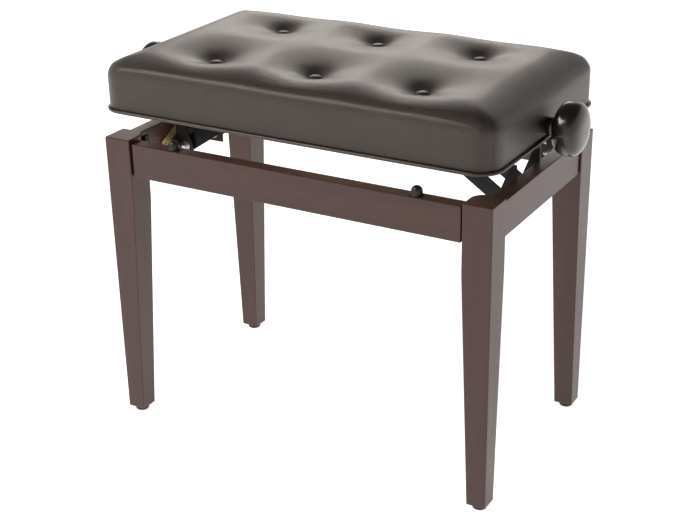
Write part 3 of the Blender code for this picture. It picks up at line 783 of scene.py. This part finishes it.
def pleats(mesh):
    """A folded line down each corner, where the cover is gathered."""
    points = coordinates_of(mesh)
    centre = np.array((HALF.x - CORNER_RADIUS, HALF.y - CORNER_RADIUS))
    out = np.abs(points[:, :2]) - centre
    inside = (out > 0).all(axis=1)
    turn = np.arctan2(out[:, 1], out[:, 0])
    reach = np.hypot(out[:, 0], out[:, 1])
    across = (turn - PLEAT_TURN) * CORNER_RADIUS
    lip = np.exp(-(((across - PLEAT_LIP_PLACE) / PLEAT_LIP_WIDTH) ** 2))
    fold = np.exp(-((across / PLEAT_WIDTH) ** 2)) - PLEAT_LIP * lip
    share = np.clip((reach / CORNER_RADIUS - PLEAT_START) / PLEAT_FADE, 0, 1)
    share = share * inside * fold * PLEAT_DEPTH
    direction = out / np.maximum(reach, 1e-6)[:, None] * np.sign(points[:, :2])
    rim = np.clip((points[:, 2] - (EDGE_FLAT_Z - SHOULDER)) / SHOULDER, 0, 1)
    points[:, :2] -= direction * (share * (1 - 0.5 * rim))[:, None]
    points[:, 2] -= share * rim
    set_coordinates(mesh, points)


def dress(obj, finish):
    obj.data.materials.clear()
    obj.data.materials.append(finish)


MOST_RISE = 0.005
MOST_BULGE = 0.0020


def cushion():
    """The padded top: a block raised to its crown, tightened, pleated and hollowed below."""
    made = new_object("cushion", cushion_block(), leatherette)
    with_modifier(made, "even_mesh", "REMESH", mode="VOXEL", voxel_size=VOXEL)
    points = coordinates_of(made.data)
    for point in points:
        share = min(max((point[2] - EDGE_FLAT_Z) / BLEND_DEPTH + 1, 0), 1)
        share = share * share * (3 - 2 * share)
        point[2] += share * (crown(point[0], point[1]) - EDGE_FLAT_Z)
    set_coordinates(made.data, points)
    moved = tighten(made, points) - points
    moved[:, :2] = np.clip(moved[:, :2], -MOST_BULGE, MOST_BULGE)
    moved[:, 2] = np.clip(moved[:, 2], -MOST_RISE, MOST_RISE)
    set_coordinates(made.data, points + evened(made.data, moved))
    with_modifier(made, "finer", "SUBSURF", levels=1, render_levels=1)
    dress(made, leatherette)
    pleats(made.data)
    pocket(made)
    made.data.shade_smooth()
    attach(made, "seat")
    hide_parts("seat_cover", "foam_pad")
    return made


RAIL_GAP = 0.0002
BOARD_GAP = 0.0003


def pocket(obj):
    """Trims the bottom, turns it in to the rails and closes it over the seat board."""
    inset = HALF.y - face_of("seat_rail_back", Y, 1) - RAIL_GAP
    board_top = face_of("seat_board", Z, 1)
    bm = bmesh.new()
    bm.from_mesh(obj.data)
    cut_off(bm, (0, 0, COVER_BOTTOM_Z), (0, 0, -1), SEAM)
    rim = [e for e in bm.edges if e.is_boundary]
    for level in (COVER_BOTTOM_Z, board_top + BOARD_GAP):
        fresh = bmesh.ops.extrude_edge_only(bm, edges=rim)["geom"]
        verts = [item for item in fresh if isinstance(item, bmesh.types.BMVert)]
        rim = [item for item in fresh if isinstance(item, bmesh.types.BMEdge)]
        for vert in verts:
            if level == COVER_BOTTOM_Z:
                vert.co.x *= (HALF.x - inset) / HALF.x
                vert.co.y *= (HALF.y - inset) / HALF.y
            vert.co.z = level
    bmesh.ops.holes_fill(bm, edges=rim)
    bmesh.ops.recalc_face_normals(bm, faces=bm.faces)
    bm.to_mesh(obj.data)
    bm.free()


def surface_of(obj):
    graph = bpy.context.evaluated_depsgraph_get()
    return BVHTree.FromObject(obj, graph)


BUTTON_DOME = 0.0046
BUTTON_TUCK = 0.003  # how far its cloth runs down into the tuft
BUTTON_LIFT = 0.0006


def buttons(surface):
    """Covered buttons, each with a domed face and its cloth tucked in under the rim."""
    for index, place in enumerate(BUTTONS, 1):
        low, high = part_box(f"button_{index}")
        radius = (high.x - low.x) / 2
        seat = surface.ray_cast(Vector((place.x, place.y, 0.6)), Vector((0, 0, -1)))[0].z
        profile = [(0, -BUTTON_TUCK), (radius * 0.80, -BUTTON_TUCK), (radius * 0.96, -0.0006)]
        for i in range(9):
            turn = 0.05 + 0.17 * i
            profile.append((radius * cos(turn) ** 0.75, BUTTON_DOME * sin(turn)))
        profile.append((0, BUTTON_DOME))
        bm = bmesh.new()
        add_turned(bm, profile, (place.x, place.y, seat + BUTTON_LIFT), (0, 0, 1), 40)
        made = piece(f"covered_button_{index}", bm, leatherette_trim, "seat")
        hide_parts(f"button_{index}")


def seat_path(inset, steps):
    """Points round the seat's outline, moved in from it."""
    corner = CORNER_RADIUS - inset
    points = []
    for quarter, (sx, sy) in enumerate(((1, -1), (1, 1), (-1, 1), (-1, -1))):
        centre = Vector((sx * (HALF.x - CORNER_RADIUS), sy * (HALF.y - CORNER_RADIUS)))
        for part in quarter_turn(steps):
            turn = (quarter - 1) * pi / 2 + part
            points.append((centre.x + corner * cos(turn), centre.y + corner * sin(turn)))
    return points


def piping():
    """A covered cord round the cover's lower edge."""
    low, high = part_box("seat_piping")
    radius = (high.z - low.z) / 2
    z = (high.z + low.z) / 2
    path = bpy.data.curves.new("piping_cord", "CURVE")
    path.dimensions = "3D"
    path.bevel_depth = radius
    path.bevel_resolution = 4
    outline = seat_path(0, 12)
    spline = path.splines.new("POLY")
    spline.points.add(len(outline) - 1)
    for point, (x, y) in zip(spline.points, outline):
        point.co = (x, y, z, 1)
    spline.use_cyclic_u = True
    path.materials.append(leatherette_trim)
    cord = bpy.data.objects.new("piping_cord", path)
    bpy.context.scene.collection.objects.link(cord)
    mesh = evaluated_mesh(cord)
    bpy.data.objects.remove(cord)
    bm = bmesh.new()
    bm.from_mesh(mesh)
    made = piece("piping", bm, leatherette_trim, "seat")
    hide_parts("seat_piping")


# Knobs and spindle

SPINDLE_PLACE = middle("spindle")
SPINDLE_RADIUS = 0.006
KNOB_NECK = 0.011
KNOB_EASE = 0.0006
KNOB_THICKNESS = 0.036
KNOB_STEPS = 48
KNOB_POWER = 2 / 3


def knobs():
    """Fat turned knobs, round at the rim and nearly flat on their faces, on short necks."""
    for label, side in SIDES:
        node = f"knob_{label}"
        low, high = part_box(node)
        rim = (high.z - low.z) / 2
        inner = min(abs(low.x), abs(high.x))
        outer = max(abs(low.x), abs(high.x))
        half = KNOB_THICKNESS / 2
        centre = outer - half
        profile = [(0, inner), (KNOB_NECK - KNOB_EASE, inner), (KNOB_NECK, inner + KNOB_EASE)]
        profile += [(KNOB_NECK - 0.0008, inner + 0.0030), (KNOB_NECK + 0.0004, centre - half * 0.99)]
        for i in range(1, KNOB_STEPS):
            turn = pi * i / KNOB_STEPS
            radius = rim * sin(turn) ** KNOB_POWER
            along = -copysign(abs(cos(turn)) ** KNOB_POWER, cos(turn))
            if along > 0 or radius > KNOB_NECK + 0.002:
                profile.append((radius, centre + half * along))
        profile.append((0, outer))
        bm = bmesh.new()
        place = (0, SPINDLE_PLACE.y, SPINDLE_PLACE.z)
        add_turned(bm, profile, place, (side, 0, 0), 96)
        made = piece(f"turned_knob_{label}", bm, gloss_black, "spindle")
        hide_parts(node)


THREAD_LEAD = 0.006
THREAD_STARTS = 2
THREAD_DEPTH = 0.0011
THREAD_STEPS = 18  # in one turn
THREAD_SHAPE = ((0, 0.0), (0, 0.22), (1, 0.42), (1, 0.78))  # (height, place) over one pitch
THREAD_RUN_OUT = 0.004
PLAIN_HALF = 0.030  # unthreaded middle
COLLAR_OUT = 0.0035  # inside the channel's outer face
COLLAR_LENGTH = 0.006
COLLAR_EASE = 0.0006


def add_thread(bm, thread_end):
    """A right-hand thread on one half of the rod, from its plain middle outwards."""
    core = SPINDLE_RADIUS - THREAD_DEPTH
    pitch = THREAD_LEAD / THREAD_STARTS
    start = PLAIN_HALF - THREAD_LEAD
    profile = []
    for index in range(THREAD_STARTS):
        for height, along in THREAD_SHAPE:
            radius = SPINDLE_RADIUS if height else core
            profile.append((radius, start + (index + along) * pitch))
    profile.append((core, start + THREAD_LEAD))
    turns = int((thread_end - start) / THREAD_LEAD) + 1
    verts = [bm.verts.new((along, radius, 0)) for radius, along in profile]
    edges = [bm.edges.new(pair) for pair in zip(verts, verts[1:])]
    bmesh.ops.spin(
        bm,
        geom=verts + edges,
        cent=(0, 0, 0),
        axis=(1, 0, 0),
        dvec=(THREAD_LEAD / THREAD_STEPS, 0, 0),
        angle=tau * turns,
        steps=THREAD_STEPS * turns,
    )
    bmesh.ops.remove_doubles(bm, verts=bm.verts, dist=1e-5)
    for place, facing in ((PLAIN_HALF, -1), (thread_end, 1)):
        cut_off(bm, (place, 0, 0), (facing, 0, 0), 1e-7)
    bmesh.ops.holes_fill(bm, edges=[e for e in bm.edges if e.is_boundary])


def threaded_spindle():
    """A rod with a right-hand thread towards one knob and a left-hand one to the other."""
    low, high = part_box("spindle")
    collar_radius = (high.z - low.z) / 2
    collar_end = face_of("upper_channel_right", X, 1) - COLLAR_OUT
    collar = collar_end - COLLAR_LENGTH
    thread_end = collar - THREAD_RUN_OUT
    bm = bmesh.new()
    add_thread(bm, thread_end)
    bmesh.ops.mirror(bm, geom=all_of(bm), axis="X", merge_dist=-1.0)
    bmesh.ops.translate(bm, verts=bm.verts, vec=SPINDLE_PLACE)
    plain = [(SPINDLE_RADIUS, -PLAIN_HALF), (SPINDLE_RADIUS, PLAIN_HALF)]
    add_turned(bm, [(0, -PLAIN_HALF), *plain, (0, PLAIN_HALF)], SPINDLE_PLACE, (1, 0, 0))
    for _, side in SIDES:
        profile = [
            (0, thread_end),
            (SPINDLE_RADIUS, thread_end),
            (SPINDLE_RADIUS, collar),
            (collar_radius - COLLAR_EASE, collar),
            (collar_radius, collar + COLLAR_EASE),
            (collar_radius, collar_end - COLLAR_EASE),
            (collar_radius - COLLAR_EASE, collar_end),
            (SPINDLE_RADIUS, collar_end),
            (SPINDLE_RADIUS, high.x),
            (0, high.x),
        ]
        add_turned(bm, profile, SPINDLE_PLACE, (side, 0, 0), 32)
    made = piece("threaded_spindle", bm, bright_steel, "spindle")
    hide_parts("spindle")


# Lift hardware

ARM_RADIUS = 0.010
WASHER_PLAY = 0.0002
ARM_WASHER = (0.0085, 0.0016)  # outer radius and thickness
LINK_WASHER = (0.0080, 0.0012)
ARM_RIVET = (0.0048, 0.0022)  # radius and height of the head
NUT_RIVET = (0.0055, 0.0026)
LINK_RIVET = (0.0042, 0.0016)


def add_washer(bm, place, direction, bore, size):
    """A flat ring that turns freely on a rod of the given radius."""
    outer, thickness = size
    inner = bore + WASHER_PLAY
    profile = [(inner, 0), (outer, 0), (outer, thickness), (inner, thickness)]
    add_turned(bm, profile, place, direction, ring=True)


def add_clip(bm, place, direction, radius):
    """A pressed cap on the end of a rod."""
    brim = radius + 0.0030
    profile = [(0, -0.0004), (brim, -0.0004), (brim, 0.0004), (radius + 0.0012, 0.0010)]
    profile += [(radius * 0.8, 0.0024), (radius * 0.4, 0.0029), (0, 0.0030)]
    add_turned(bm, profile, place, direction)


def lift_hardware():
    """Rivets, washers and end caps on the pivots at each end of the lift."""
    for label, side in SIDES:
        rod = middle(f"lower_rod_{label}")
        upper = middle(f"upper_rod_{label}")
        bore = face_of(f"lower_rod_{label}", Z, 1) - rod.z
        front_arm = f"arm_{label}_front"
        top_x = face_of(front_arm, X, -side) + side * ARM_RADIUS
        top = Vector((top_x, 0, face_of(front_arm, Z, 1) - ARM_RADIUS))
        crossing = (rod + top) / 2
        on_arm = bmesh.new()
        on_frame = bmesh.new()
        on_link = bmesh.new()
        for end_label, end in ENDS:
            arm = f"arm_{label}_{end_label}"
            outwards = (0, end, 0)
            inwards = (0, -end, 0)
            outer = face_of(arm, Y, end)
            add_rivet(on_arm, (crossing.x, outer, crossing.z), outwards, *ARM_RIVET)
            add_rivet(on_arm, (top.x, outer, top.z), outwards, *NUT_RIVET)
            add_washer(on_arm, (rod.x, outer, rod.z), outwards, bore, ARM_WASHER)
            add_washer(on_arm, (rod.x, face_of(arm, Y, -end), rod.z), inwards, bore, ARM_WASHER)
            rod_end = face_of(f"lower_rod_{label}", Y, end)
            add_clip(on_frame, (rod.x, rod_end, rod.z), outwards, bore)
            inner = face_of(f"link_{label}_{end_label}", Y, -end)
            add_washer(on_link, (upper.x, inner, upper.z), inwards, bore, LINK_WASHER)
            add_rivet(on_link, (crossing.x, inner, crossing.z), inwards, *LINK_RIVET)
            upper_end = face_of(f"upper_rod_{label}", Y, end)
            add_clip(on_link, (upper.x, upper_end, upper.z), outwards, bore)
        piece(f"arm_rivets_{label}", on_arm, bright_steel, f"arm_{label}")
        piece(f"rod_clips_{label}", on_frame, bright_steel, "frame")
        piece(f"link_washers_{label}", on_link, bright_steel, f"link_{label}")


CHANNEL_PLATE = 0.0025  # thicknesses
STRAP_PLATE = 0.0020
CORNER_PLATE = 0.0025
CORNER_FLANGE = 0.010
CHANNEL_SCREW = 0.0034  # radii
SMALL_SCREW = 0.0026
CORNER_BOLT = 0.0030
CORNER_BOLT_REACH = 0.0090
SCREW_ROWS = (0.008, 0.022)  # up from the bottom of a channel


def inside_screws(node, body, thickness, places, radius):
    """Screws on the inward face of an upright plate, at (y, height above its bottom)."""
    side = copysign(1, middle(node).x)
    face = face_of(node, X, side) - side * thickness
    bottom = face_of(node, Z, -1)
    bm = bmesh.new()
    for y, height in places:
        add_screw(bm, (face, y, bottom + height), (-side, 0, 0), radius)
    piece(f"{node}_screws", bm, bright_steel, body)


def channel_screws():
    """Screws through the channels and straps, into the end aprons and the seat rails."""
    base = [(y, height) for y in (-0.016, 0.016) for height in SCREW_ROWS]
    wings = [(end * y, height) for _, end in ENDS for y in (0.036, 0.064) for height in SCREW_ROWS]
    strap = [(y, 0.0070) for y in (-0.0625, 0.0625)]
    for label, _ in SIDES:
        inside_screws(f"base_channel_{label}", "frame", CHANNEL_PLATE, base, CHANNEL_SCREW)
        inside_screws(f"upper_channel_{label}", "seat", CHANNEL_PLATE, wings, CHANNEL_SCREW)
        inside_screws(f"base_strap_{label}", "frame", STRAP_PLATE, strap, SMALL_SCREW)


def corner_bolts():
    """A hanger bolt's nut in the middle of each corner plate, and four screws in its flanges."""
    for end, end_sign, side, side_sign in CORNERS:
        node = f"corner_plate_{end}_{side}"
        low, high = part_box(node)
        signs = (side_sign, end_sign)
        reach = high.x - low.x
        inwards = Vector((-side_sign, -end_sign, 0)).normalized()
        corner = Vector((face_of(node, X, side_sign), face_of(node, Y, end_sign), 0))
        half = (reach - CORNER_FLANGE) / 2
        centre = corner - Vector((side_sign * half, end_sign * half, 0))
        centre.z = (low.z + high.z) / 2
        bm = bmesh.new()
        face = centre + inwards * CORNER_PLATE
        add_bolt_end(bm, face, inwards, CORNER_BOLT, CORNER_BOLT_REACH)
        for axis, across in ((X, Y), (Y, X)):
            for share in (0.25, 0.75):
                place = corner.copy()
                place.z = low.z + (high.z - low.z) * share
                place[axis] -= signs[axis] * (reach - CORNER_FLANGE * 0.5)
                place[across] -= signs[across] * CORNER_PLATE
                facing = Vector((0, 0, 0))
                facing[across] = -signs[across]
                add_screw(bm, place, facing, SMALL_SCREW)
        piece(f"corner_bolts_{end}_{side}", bm, bright_steel, "frame")


BUMPER_GIVE = 0.0013  # room for the turned-under cover that lands on them
BUMPER_COLLAR = 0.0012
BUMPER_POST = 0.92  # times the collar's radius
BUMPER_TAPER = 0.985


def bumpers():
    """Moulded stops on the long aprons, each a rounded post on a thin collar."""
    for end, _, side, _ in CORNERS:
        node = f"stop_stud_{end}_{side}"
        low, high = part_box(node)
        radius = (high.x - low.x) / 2
        height = high.z - low.z - BUMPER_GIVE
        foot = radius * BUMPER_POST
        top = foot * BUMPER_TAPER
        straight = height - foot
        profile = [(0, 0), (radius, 0), (radius, BUMPER_COLLAR), (foot, BUMPER_COLLAR + 0.0006)]
        profile.append((top, straight))
        for turn in quarter_turn(8)[1:-1]:
            profile.append((top * cos(turn), straight + foot * sin(turn)))
        profile.append((0, height))
        bm = bmesh.new()
        place = middle(node)
        place.z = low.z
        add_turned(bm, profile, place, (0, 0, 1), 40)
        made = piece(f"bumper_{end}_{side}", bm, rubber, "frame")
        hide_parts(node)


UNDER_OUTER = 0.0026  # in from the seat's outline, as are the next two
UNDER_INNER = 0.0150
STAPLE_LINE = 0.0085
STAPLE_SPACING = 0.028
STAPLE_SIZE = (0.0100, 0.0009, 0.0005)
STAPLE_DROP = 0.0012


def add_staple(bm, place, turn):
    known = set(bm.verts)
    made = bmesh.ops.create_cube(bm, size=1.0)["verts"]
    bmesh.ops.scale(bm, vec=STAPLE_SIZE, verts=made)
    edges = {edge for vert in made for edge in vert.link_edges}
    long_edges = [e for e in edges if abs(e.verts[0].co.x - e.verts[1].co.x) > STAPLE_SIZE[0] / 2]
    ease_edges(bm, long_edges, 0.00015, 1)
    fresh = new_since(bm, known)
    bmesh.ops.rotate(bm, verts=fresh, matrix=Matrix.Rotation(turn, 3, "Z"))
    bmesh.ops.translate(bm, verts=fresh, vec=place)


def turned_under():
    """The cover's edge, turned in under the rails."""
    z = face_of("seat_rail_back", Z, -1)
    outer = seat_path(UNDER_OUTER, 10)
    inner = seat_path(UNDER_INNER, 10)
    bm = bmesh.new()
    rows = []
    for outline, drop in ((outer, 0.0002), (outer, 0.0011), (inner, 0.0009), (inner, 0.0002)):
        rows.append([bm.verts.new((x, y, z - drop)) for x, y in outline])
    loops = []
    for row in rows:
        loops.append([bm.edges.new(pair) for pair in zip(row, row[1:] + row[:1])])
    for first, second in zip(loops, loops[1:] + loops[:1]):
        bmesh.ops.bridge_loops(bm, edges=first + second)
    piece("cover_turned_under", bm, leatherette_trim, "seat")


def staples():
    """Evenly spaced staples that hold the cover's turned-under edge."""
    z = face_of("seat_rail_back", Z, -1) - STAPLE_DROP
    bm = bmesh.new()
    path = seat_path(STAPLE_LINE, 4)
    carried = 0.0
    for start, end in zip(path, path[1:] + path[:1]):
        step_x = end[0] - start[0]
        step_y = end[1] - start[1]
        run = hypot(step_x, step_y)
        while carried < run:
            share = carried / run
            place = (start[0] + step_x * share, start[1] + step_y * share, z)
            add_staple(bm, place, np.arctan2(step_y, step_x))
            carried += STAPLE_SPACING
        carried -= run
    piece("cover_staples", bm, bright_steel, "seat")


# Finishes on the pieces that keep their shape


def paint(prefixes, finish):
    for name, obj in frame["nodes"].items():
        if name.startswith(prefixes):
            dress(obj, finish)


paint(("leg_",), mahogany_upright)
paint(("apron_front", "apron_back"), mahogany_long)
paint(("apron_left", "apron_right"), mahogany_cross)
paint(("seat_rail_front", "seat_rail_back"), stained_long)
paint(("seat_rail_left", "seat_rail_right"), stained_cross)
paint(("seat_board", "foam_pad"), plywood)
paint(("corner_plate_", "base_channel_", "upper_channel_", "arm_", "link_", "spindle_bush_"), black_paint)
paint(("base_strap_",), yellow_zinc)
paint(("lower_rod_", "upper_rod_", "spindle_nut_"), bright_steel)
paint(("knob_",), gloss_black)
paint(("glide_", "stop_stud_"), rubber)
paint(("seat_cover", "seat_piping", "button_"), leatherette)

cushion_piece = cushion()
buttons(surface_of(cushion_piece))
piping()
knobs()
threaded_spindle()
lift_hardware()
channel_screws()
corner_bolts()
bumpers()
turned_under()
staples()


# Studio

FLOOR_REACH = 7.0
LIGHTS = (  # name, place, target, width, height, watts, seen in reflections
    ("key_front_left", (-1.3, -1.5, 2.1), (0, 0, 0.4), 1.6, 0.8, 44, True),
    ("side_right", (2.2, 0.6, 1.0), (0, 0, 0.3), 1.6, 1.6, 9, False),
    ("window_back_left", (-1.25, 2.25, 1.15), (0, 0, 0.5), 1.3, 0.6, 8, True),
    ("overhead_fill", (0, 0, 3.4), (0, 0, 0), 4.0, 4.0, 12, False),
)


def floor():
    bm = bmesh.new()
    bmesh.ops.create_grid(bm, x_segments=8, y_segments=8, size=FLOOR_REACH)
    mesh = bpy.data.meshes.new("floor")
    bm.to_mesh(mesh)
    bm.free()
    mesh.materials.append(floor_material())
    made = bpy.data.objects.new("floor", mesh)
    bpy.context.scene.collection.objects.link(made)


def world():
    """White to look at, and a bright horizon under a dimmer ceiling to light by."""
    made = bpy.data.worlds.new("studio")
    made.use_nodes = True
    tree = made.node_tree
    background = tree.nodes["Background"]
    direction = add(tree, "ShaderNodeTexCoord").outputs["Generated"]
    height = add(tree, "ShaderNodeSeparateXYZ", {"Vector": direction}).outputs["Z"]
    light = ramp(tree, height, ((0.0, 0.95), (0.30, 0.80), (0.52, 0.16), (1.0, 0.06)))
    seen = add(tree, "ShaderNodeLightPath").outputs["Is Camera Ray"]
    light = mix(tree, 1.0, light, WARM, "MULTIPLY")
    colour = mix(tree, seen, light, (1.0, 1.0, 1.0))
    tree.links.new(colour, background.inputs["Color"])
    background.inputs["Strength"].default_value = 1.0
    bpy.context.scene.world = made


camera()
world()
floor()
for light in LIGHTS:
    area_light(*light)
bpy.context.scene.view_settings.view_transform = "Standard"
